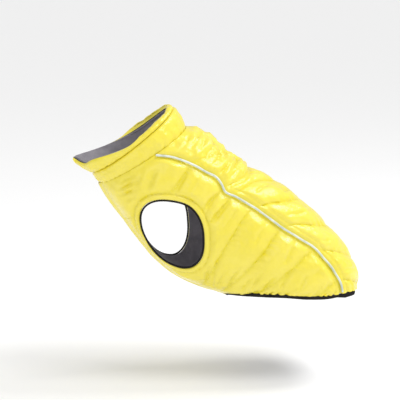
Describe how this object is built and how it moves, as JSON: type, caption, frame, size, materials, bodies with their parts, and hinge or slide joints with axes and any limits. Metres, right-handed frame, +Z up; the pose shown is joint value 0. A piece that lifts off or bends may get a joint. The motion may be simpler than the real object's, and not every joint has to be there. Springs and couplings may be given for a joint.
{
  "type": "padded dog coat",
  "caption": "Sleeveless quilted coat for a small dog, worn form, with a stand collar, two armholes, piped back seams and an elastic hem.",
  "frame": {"origin": "inner face of the back panel at the withers, in the middle plane, where the wearer holds the coat", "axes": "+X from the neck towards the rump, +Y towards the wearer's right side, +Z up; Y = 0 is the middle plane"},
  "size_m": [0.2559, 0.106, 0.1742],
  "materials": {
    "padded_cloth": "satin",
    "lining": "matte",
    "piping": "satin",
    "black_elastic": "matte"
  },
  "bodies": {
    "root": {"back_panel": "padded_cloth", "side_panel_left": "padded_cloth", "side_panel_right": "padded_cloth", "collar_lower": "padded_cloth", "collar_upper": "padded_cloth", "collar_lining": "lining", "piping_left": "piping", "piping_right": "piping", "armhole_binding_left": "black_elastic", "armhole_binding_right": "black_elastic", "hem_binding": "black_elastic"}
  },
  "joints": []
}
